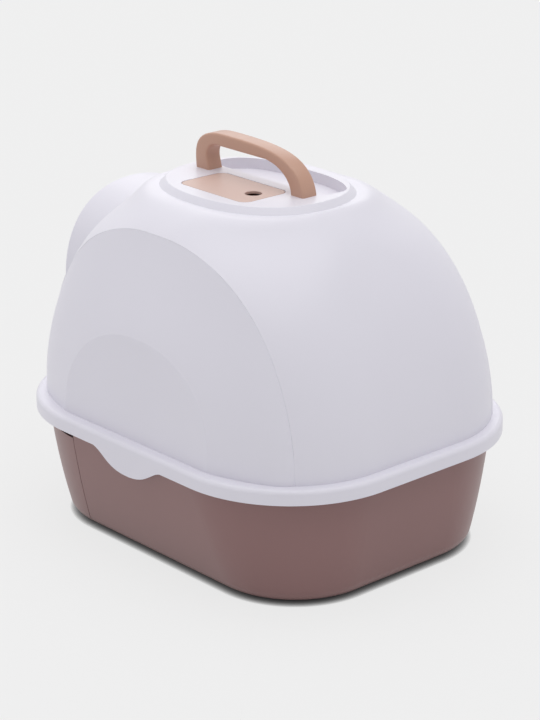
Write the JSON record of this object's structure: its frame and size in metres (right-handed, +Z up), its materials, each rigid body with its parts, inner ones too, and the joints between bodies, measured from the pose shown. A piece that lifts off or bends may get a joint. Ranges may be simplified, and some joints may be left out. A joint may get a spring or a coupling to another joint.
{
  "type": "hooded litter box with pull-out drawer",
  "caption": "Covered cat litter box: domed white hood with carrying handle, porch entrance with swing flap, and a brown lower tray with a pull-out drawer.",
  "frame": {"origin": "centre of the skirt outline at floor level", "axes": "+Z up; -Y towards the entrance and the drawer pull; X across the width"},
  "size_m": [0.412, 0.5, 0.4415],
  "materials": {
    "hood": "satin moulded",
    "base_shell": "satin moulded",
    "drawer": "satin moulded",
    "handle": "satin moulded",
    "deodorizer_lid": "satin moulded",
    "deodorizer_pad": "felt",
    "entrance_frame": "satin moulded",
    "entrance_flap": "clear tinted plastic",
    "handle_screws": "plain",
    "feet": "matte"
  },
  "bodies": {
    "base": {"base_shell": "base_shell", "foot_front_left": "feet", "foot_front_right": "feet", "foot_rear_left": "feet", "foot_rear_right": "feet"},
    "drawer": {"drawer": "drawer"},
    "hood": {"hood": "hood", "handle": "handle", "handle_screws": "handle_screws", "deodorizer_pad": "deodorizer_pad", "entrance_frame": "entrance_frame"},
    "flap": {"entrance_flap": "entrance_flap"},
    "small_lid": {"deodorizer_lid": "deodorizer_lid"}
  },
  "joints": [
    {"name": "drawer_slide", "type": "slide", "parent": "base", "child": "drawer", "axis": [0, -1, 0], "range_m": [0, 0.3]},
    {"name": "hood_lift", "type": "slide", "parent": "base", "child": "hood", "axis": [0, 0, 1], "range_m": [0, 0.2]},
    {"name": "flap_hinge", "type": "hinge", "parent": "hood", "child": "flap", "pos_m": [0, -0.2285, 0.283], "axis": [1, 0, 0], "range_deg": [-75, 75]},
    {"name": "small_lid_lift", "type": "slide", "parent": "hood", "child": "small_lid", "axis": [0, 0, 1], "range_m": [0, 0.015]}
  ]
}
